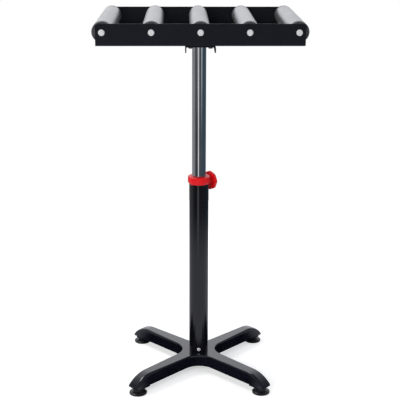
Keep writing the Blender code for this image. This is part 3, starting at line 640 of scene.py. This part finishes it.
zinc = finish_named("bright_zinc", {"Metallic": 0.35})
plating = grain(zinc, 700)
colour(zinc, plating, (0.86, 0.86, 0.86), (0.94, 0.94, 0.94))
dull(zinc, plating, 0.42, 0.56)
relief(zinc, plating, 0.00002)


def button_screw(head_radius, head_height, shank_radius, shank_length, socket_radius):
    """A button-head screw on Z: a domed head on its seat at Z = 0, with a shallow hexagonal socket."""
    shape = bmesh.new()
    ring_steps = 24
    dome_steps = 6
    socket_depth = head_height * 0.15
    head_edge = 0.18
    rim = bmesh.ops.create_circle(shape, segments=6, radius=socket_radius)["verts"]
    hexagon = list({edge for corner in rim for edge in corner.link_edges})
    bmesh.ops.subdivide_edges(shape, edges=hexagon, cuts=ring_steps // 6 - 1)
    bmesh.ops.translate(shape, vec=(0, 0, head_height), verts=shape.verts)
    mouth = shape.edges[:]
    wall = bmesh.ops.extrude_edge_only(shape, edges=mouth)["geom"]
    bmesh.ops.translate(shape, vec=(0, 0, -socket_depth), verts=only(wall, bmesh.types.BMVert))
    bmesh.ops.contextual_create(shape, geom=only(wall, bmesh.types.BMEdge))

    crown_radius = head_radius * 0.5
    crown = bmesh.ops.create_circle(shape, segments=ring_steps, radius=crown_radius)["verts"]
    bmesh.ops.translate(shape, vec=(0, 0, head_height), verts=crown)
    ring = list({edge for corner in crown for edge in corner.link_edges})
    bmesh.ops.bridge_loops(shape, edges=mouth + ring)
    outline = []
    for step in range(1, dome_steps + 1):
        turned = math.radians(90 * step / dome_steps)
        radius = crown_radius + (head_radius - crown_radius) * math.sin(turned)
        outline.append((radius, head_height * (head_edge + (1 - head_edge) * math.cos(turned))))
    outline += [(head_radius, 0), (shank_radius, 0), (shank_radius, -shank_length)]
    reached = crown_radius
    for radius, height in outline:
        grown = bmesh.ops.extrude_edge_only(shape, edges=ring)["geom"]
        ring = only(grown, bmesh.types.BMEdge)
        ring_verts = only(grown, bmesh.types.BMVert)
        rise = height - ring_verts[0].co.z
        bmesh.ops.scale(shape, vec=(radius / reached, radius / reached, 1), verts=ring_verts)
        bmesh.ops.translate(shape, vec=(0, 0, rise), verts=ring_verts)
        reached = radius
    bmesh.ops.contextual_create(shape, geom=ring)
    bmesh.ops.recalc_face_normals(shape, faces=shape.faces)
    return shape


facing_front = Matrix.Rotation(math.radians(90), 4, "X")
facing_rear = Matrix.Rotation(math.radians(-90), 4, "X")
low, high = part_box("column_screw")
middle = (low + high) / 2
seat = Matrix.Translation((middle.x, -tube_radius - 0.0003, middle.z))
screw = button_screw(
    head_radius=0.0044,
    head_height=0.0026,
    shank_radius=0.0022,
    shank_length=0.0070,
    socket_radius=0.0017,
)
bmesh.ops.transform(screw, matrix=seat @ facing_front, verts=screw.verts)
stand_piece("column_screw_plated", screw, zinc, "base", "column_screw", edge=0.00015)


# The clamp collar is a red nylon cap moulded over the lower tube's end. A sleeve inside it guides the
# sliding tube, and a boss at the rear right carries the clamp stud.
red_nylon = finish_named(
    "red_nylon",
    {"Subsurface Weight": 0.06, "Subsurface Radius": (0.004, 0.001, 0.001), "Specular IOR Level": 0.35},
)
flow = grain(red_nylon, 40, stretch=(1, 1, 0.4))
colour(red_nylon, flow, (0.70, 0.005, 0.009), (0.82, 0.010, 0.015))
dull(red_nylon, flow, 0.24, 0.34)
relief(red_nylon, grain(red_nylon, 600, detail=2), 0.00002)


def arc_points(radius, height, rounding, start, end, steps=5):
    """Points of a rounded corner, as radius and height, about a centre."""
    points = []
    for step in range(steps + 1):
        turned = math.radians(start + (end - start) * step / steps)
        points.append((radius + rounding * math.cos(turned), height + rounding * math.sin(turned)))
    return points


collar_low, collar_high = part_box("clamp_collar")
collar_foot = collar_low.z
collar_top = collar_high.z
tube_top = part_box("lower_tube")[1].z
cap_bottom = collar_top - 0.018
cap_bore = 0.0238
cap_end = tube_top + 0.0003
band_radius = 0.0266
top_rounding = 0.0022
band_rounding = 0.0006
lip_height = 0.0036
sleeve_radius = 0.0212
sleeve_bore = 0.0168
collar_profile = [(sleeve_bore, collar_top - 0.0008), (sleeve_bore + 0.0008, collar_top)]
collar_profile += arc_points(band_radius - top_rounding, collar_top - top_rounding, top_rounding, 90, 0)
band_edge = cap_bottom + lip_height + band_rounding
collar_profile += arc_points(band_radius - band_rounding, band_edge, band_rounding, 0, -90, steps=3)
collar_profile += [
    (0.0254, cap_bottom + lip_height),
    (0.0241, cap_bottom + 0.0003),
    (0.0240, cap_bottom),
    (cap_bore, cap_bottom),
    (cap_bore, cap_end),
    (sleeve_radius, cap_end),
    (sleeve_radius, collar_foot),
    (sleeve_bore, collar_foot),
]
collar = turned_shape(collar_profile, closed=True)

# The boss starts on the round of the cap's bore.
clamp_turn = Matrix.Rotation(math.radians(45), 4, "Z") @ Matrix.Rotation(math.radians(90), 4, "Y")
clamp_height = tube_top - 0.0149
boss_root = 0.0250
boss_face = 0.0295
boss_radius = 0.0100
boss_chamfer = 0.0006
stud_hole = 0.0053
boss_profile = [
    (stud_hole, boss_face),
    (boss_radius - boss_chamfer, boss_face),
    (boss_radius, boss_face - boss_chamfer),
    (boss_radius, boss_root),
    (stud_hole, boss_root),
]
boss = turned_shape(boss_profile, 48, closed=True)
for vertex in boss.verts:
    if vertex.co.z < boss_root + 0.0005:
        vertex.co.z = math.sqrt(cap_bore**2 - vertex.co.y**2)
add_shape(collar, boss, Matrix.Translation((0, 0, clamp_height)) @ clamp_turn)
stand_piece("clamp_collar_moulded", collar, red_nylon, "base", "clamp_collar")


# The clamp knob is red nylon too, a dished disc with eight shallow lobes, moulded round the end of a
# plated stud that presses on the sliding tube.
knob_back = 0.0300
knob_radius = 0.0230
lobes = 8
lobe_depth = 0.0011
lobes_from = 0.0175
knob_profile = [
    (0, 0.0080),
    (0.0053, 0.0080),
    (0.0053, 0.0003),
    (0.0061, 0),
    (0.0079, 0),
    (0.0085, 0.0005),
    (0.0093, 0.0024),
    (0.0106, 0.0031),
    (0.0188, 0.0033),
    (0.0211, 0.0038),
    (0.0223, 0.0047),
    (knob_radius, 0.0061),
    (knob_radius, 0.0091),
    (0.0225, 0.0104),
    (0.0213, 0.0115),
    (0.0180, 0.0126),
    (0.0130, 0.0136),
    (0.0065, 0.0142),
    (0.0027, 0.0145),
    (0, 0.0145),
]
knob = turned_shape(knob_profile, steps=128)
for vertex in knob.verts:
    reach = math.hypot(vertex.co.x, vertex.co.y)
    if reach > lobes_from:
        between_lobes = (1 - math.cos(lobes * math.atan2(vertex.co.y, vertex.co.x))) / 2
        towards_rim = (reach - lobes_from) / (knob_radius - lobes_from)
        shrink = 1 - lobe_depth * between_lobes * towards_rim / reach
        vertex.co.x *= shrink
        vertex.co.y *= shrink
knob_place = Matrix.Translation((0, 0, clamp_height)) @ clamp_turn @ Matrix.Translation((0, 0, knob_back))
bmesh.ops.transform(knob, matrix=knob_place, verts=knob.verts)
stand_piece("clamp_knob_moulded", knob, red_nylon, "clamp_knob", "clamp_knob", edge=0.0003)


def finish_node(node, finish):
    """Gives its finish to a piece that stays as it was packed."""
    materials = frame["nodes"][node].data.materials
    materials.clear()
    materials.append(finish)


finish_node("clamp_stud", zinc)


# The sliding tube is chromed steel, polished along its length. A nylon bush at its lower end runs in
# the lower tube, and a bead of weld joins its top to the table bracket.
chrome = finish_named("chrome_plate", {"Metallic": 1.0})
haze = grain(chrome, 22)
polish = grain(chrome, 240, stretch=(1, 1, 0.02))
colour(chrome, haze, (0.60, 0.62, 0.64), (0.68, 0.69, 0.70))
dull(chrome, polish, 0.06, 0.12)
relief(chrome, polish, 0.000004)

mast_radius = 0.0165
mast_bore = 0.0145
mast_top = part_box("upper_tube")[1].z
mast_tube = pipe("upper_tube", mast_radius, mast_bore)
weld_depth = 0.0035
weld_width = 0.0030
weld = [(mast_radius - 0.0002, mast_top), (mast_radius - 0.0002, mast_top - weld_depth)]
for degrees in (15, 30, 50, 70, 90):
    turned = math.radians(degrees)
    weld.append((mast_radius + weld_width * math.sin(turned), mast_top - weld_depth * math.cos(turned)))
add_shape(mast_tube, turned_shape(weld, 72, closed=True))
stand_piece("upper_tube_chromed", mast_tube, chrome, "mast", "upper_tube")

bush_nylon = finish_named("guide_nylon", {"Roughness": 0.55})
bush_grain = grain(bush_nylon, 300, detail=2)
colour(bush_nylon, bush_grain, (0.022, 0.022, 0.024), (0.034, 0.034, 0.036))
relief(bush_nylon, bush_grain, 0.00003)
finish_node("slide_bush", bush_nylon)


# The table bracket is a channel folded from steel plate and powder coated black. It runs under both
# rails, and two socket screws at each end hold them to it.
powder = finish_named("black_powder_coat", {"Specular IOR Level": 0.25})
texture = grain(powder, 1100, detail=4)
patches = grain(powder, 26, detail=4)
colour(powder, texture, (0.0030, 0.0036, 0.0060), (0.0110, 0.0120, 0.0185))
dull(powder, patches, 0.40, 0.52)
relief(powder, texture, 0.00006)


def folded_plate(section, bend_radius, half_length, axis):
    """A plate without thickness, folded along a run of points and drawn out both ways along an axis."""
    shape = bmesh.new()
    points = [shape.verts.new(point) for point in section]
    runs = [shape.edges.new(pair) for pair in zip(points, points[1:])]
    bmesh.ops.translate(shape, vec=-axis * half_length, verts=points)
    drawn = bmesh.ops.extrude_edge_only(shape, edges=runs)["geom"]
    bmesh.ops.translate(shape, vec=axis * half_length * 2, verts=only(drawn, bmesh.types.BMVert))
    folds = [edge for edge in shape.edges if len(edge.link_faces) == 2]
    bmesh.ops.bevel(
        shape,
        geom=folds,
        offset=bend_radius,
        segments=8,
        profile=0.5,
        affect="EDGES",
        material=-1,
    )
    return shape


def thicken(shape, thickness, inside):
    """Gives a folded plate its wall on the side of a point inside the fold."""
    bmesh.ops.recalc_face_normals(shape, faces=shape.faces)
    first = max(shape.faces, key=lambda face: face.calc_area())
    if first.normal.dot(Vector(inside) - first.calc_center_median()) > 0:
        bmesh.ops.reverse_faces(shape, faces=shape.faces)
    bmesh.ops.solidify(shape, geom=shape.faces[:], thickness=thickness)
    bmesh.ops.recalc_face_normals(shape, faces=shape.faces)


low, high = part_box("table_bracket")
bracket_thickness = 0.0027
bracket_bend = 0.0047
channel_run = [(low.x, 0, low.z), (low.x, 0, high.z), (high.x, 0, high.z), (high.x, 0, low.z)]
channel = folded_plate(channel_run, bracket_bend, high.y, Vector((0, 1, 0)))
thicken(channel, bracket_thickness, (0, 0, low.z))
stand_piece("table_bracket_coated", channel, powder, "mast", "table_bracket", edge=0.0003)

dark_zinc = finish_named("dull_zinc", {"Metallic": 1.0})
plating = grain(dark_zinc, 700)
colour(dark_zinc, plating, (0.20, 0.20, 0.21), (0.34, 0.34, 0.34))
dull(dark_zinc, plating, 0.34, 0.48)
bolt_head = 0.0033
for place in ("front_left", "front_right", "rear_left", "rear_right"):
    node = "bracket_bolt_" + place
    low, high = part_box(node)
    middle = (low + high) / 2
    bolt = button_screw(
        head_radius=0.0052,
        head_height=bolt_head,
        shank_radius=0.0027,
        shank_length=high.z - low.z - bolt_head,
        socket_radius=0.0023,
    )
    seat = Matrix.Translation((middle.x, middle.y, low.z + bolt_head))
    bmesh.ops.transform(bolt, matrix=seat @ Matrix.Rotation(math.pi, 4, "X"), verts=bolt.verts)
    stand_piece(node + "_plated", bolt, dark_zinc, "mast", node, edge=0.00015)


# The two rails are steel angles, folded inwards at the bottom, with rounded top corners. They are powder
# coated like the bracket, and hexagonal nuts welded on the flanges take the bracket's screws.
rail_thickness = 0.003
rail_bend = 0.005
rail_corner = 0.006
nut_radius = 0.0058
nut_height = 0.0055
nut_sunk = 0.0005
for end in ("front", "rear"):
    node = end + "_rail"
    low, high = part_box(node)
    face_y, flange_y = (low.y, high.y) if end == "front" else (high.y, low.y)
    angle_run = [(0, face_y, high.z), (0, face_y, low.z), (0, flange_y, low.z)]
    rail = folded_plate(angle_run, rail_bend, high.x, Vector((1, 0, 0)))
    bmesh.ops.bevel(
        rail,
        geom=[corner for corner in rail.verts if corner.co.z > high.z - 0.001],
        offset=rail_corner,
        segments=8,
        profile=0.5,
        affect="VERTICES",
        material=-1,
    )
    thicken(rail, rail_thickness, (0, 0, high.z))
    for place in ("left", "right"):
        bolt_low, bolt_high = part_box(f"bracket_bolt_{end}_{place}")
        over_bolt = (bolt_low + bolt_high) / 2
        over_bolt.z = low.z + rail_thickness + nut_height / 2 - nut_sunk
        nut = bmesh.new()
        bmesh.ops.create_cone(
            nut,
            cap_ends=True,
            segments=6,
            radius1=nut_radius,
            radius2=nut_radius,
            depth=nut_height,
        )
        add_shape(rail, nut, Matrix.Translation(over_bolt))
    stand_piece(node + "_coated", rail, powder, "mast", node)


# Each roller is a ground steel tube with a moulded end cap and a ball bearing in either end. It turns
# about a fixed axle, which a button screw through each rail holds.
ground_steel = finish_named("ground_steel", {"Metallic": 0.85})
grinding = grain(ground_steel, 120, stretch=(1, 9, 1), detail=4)
wiping = grain(ground_steel, 16, stretch=(2, 0.6, 2), detail=4)
colour(ground_steel, wiping, (0.32, 0.32, 0.32), (0.39, 0.39, 0.385))
dull(ground_steel, grinding, 0.24, 0.38)
relief(ground_steel, grinding, 0.00001)

cap_moulding = finish_named("grey_cap_moulding")
cap_grain = grain(cap_moulding, 500)
colour(cap_moulding, cap_grain, (0.070, 0.070, 0.075), (0.105, 0.105, 0.112))
dull(cap_moulding, cap_grain, 0.42, 0.58)
relief(cap_moulding, cap_grain, 0.00004)

bearing_race = finish_named("bearing_race", {"Metallic": 1.0})
race_polish = grain(bearing_race, 400, detail=2)
colour(bearing_race, race_polish, (0.46, 0.46, 0.48), (0.56, 0.56, 0.57))
dull(bearing_race, race_polish, 0.22, 0.34)

roller_radius = 0.0225
roller_wall = 0.0015
end_chamfer = 0.0004
chamfer_length = 0.0006
cap_flange = 0.011
cap_spigot = 0.0207
cap_depth = 0.0210
bearing_seat = 0.0143
screw_head = 0.0044


def outermost(node):
    """How far a roller's end piece reaches from the middle of the table."""
    low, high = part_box(node)
    return max(abs(low.y), abs(high.y))


for number in range(1, 6):
    name = f"roller_{number}"
    node = name + "_tube"
    body = frame["nodes"][node]["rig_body"]
    low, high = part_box(node)
    middle = (low + high) / 2
    axle_line = Matrix.Translation((middle.x, 0, middle.z))
    half = high.y
    wall = [
        (roller_radius - end_chamfer, -half),
        (roller_radius, chamfer_length - half),
        (roller_radius, half - chamfer_length),
        (roller_radius - end_chamfer, half),
        (roller_radius - roller_wall, half),
        (roller_radius - roller_wall, -half),
    ]
    tube = turned_shape(wall, closed=True)
    bmesh.ops.transform(tube, matrix=axle_line @ facing_front, verts=tube.verts)
    stand_piece(node + "_ground", tube, ground_steel, body, node, edge=0.0002)

    for end, facing, side in (("front", facing_front, -1), ("rear", facing_rear, 1)):
        node = f"{name}_cap_{end}"
        face = outermost(node)
        cap_profile = [
            (0.0090, face - 0.0012),
            (0.0098, face - 0.0004),
            (0.0118, face - 0.0004),
            (0.0126, face - 0.0012),
            (0.0186, face - 0.0012),
            (0.0194, face - 0.0002),
            (0.0205, face),
            (0.0218, face - 0.0004),
            (roller_radius, face - 0.0012),
            (roller_radius, face - cap_flange),
            (cap_spigot, face - cap_flange),
            (cap_spigot, face - cap_depth + 0.0005),
            (cap_spigot - 0.0004, face - cap_depth),
            (bearing_seat, face - cap_depth),
            (bearing_seat, face - 0.0040),
            (0.0090, face - 0.0040),
        ]
        cap = turned_shape(cap_profile, 72, closed=True)
        bmesh.ops.transform(cap, matrix=axle_line @ facing, verts=cap.verts)
        stand_piece(node + "_moulded", cap, cap_moulding, body, node, edge=0.0002)

        node = f"{name}_screw_{end}"
        screw = button_screw(
            head_radius=0.0070,
            head_height=screw_head,
            shank_radius=0.00385,
            shank_length=0.0180,
            socket_radius=0.0021,
        )
        seat = Matrix.Translation((middle.x, side * (outermost(node) - screw_head), middle.z))
        bmesh.ops.transform(screw, matrix=seat @ facing, verts=screw.verts)
        stand_piece(node + "_plated", screw, zinc, "mast", node, edge=0.0002)
        finish_node(f"{name}_bearing_{end}", bearing_race)
    finish_node(name + "_axle", bearing_race)
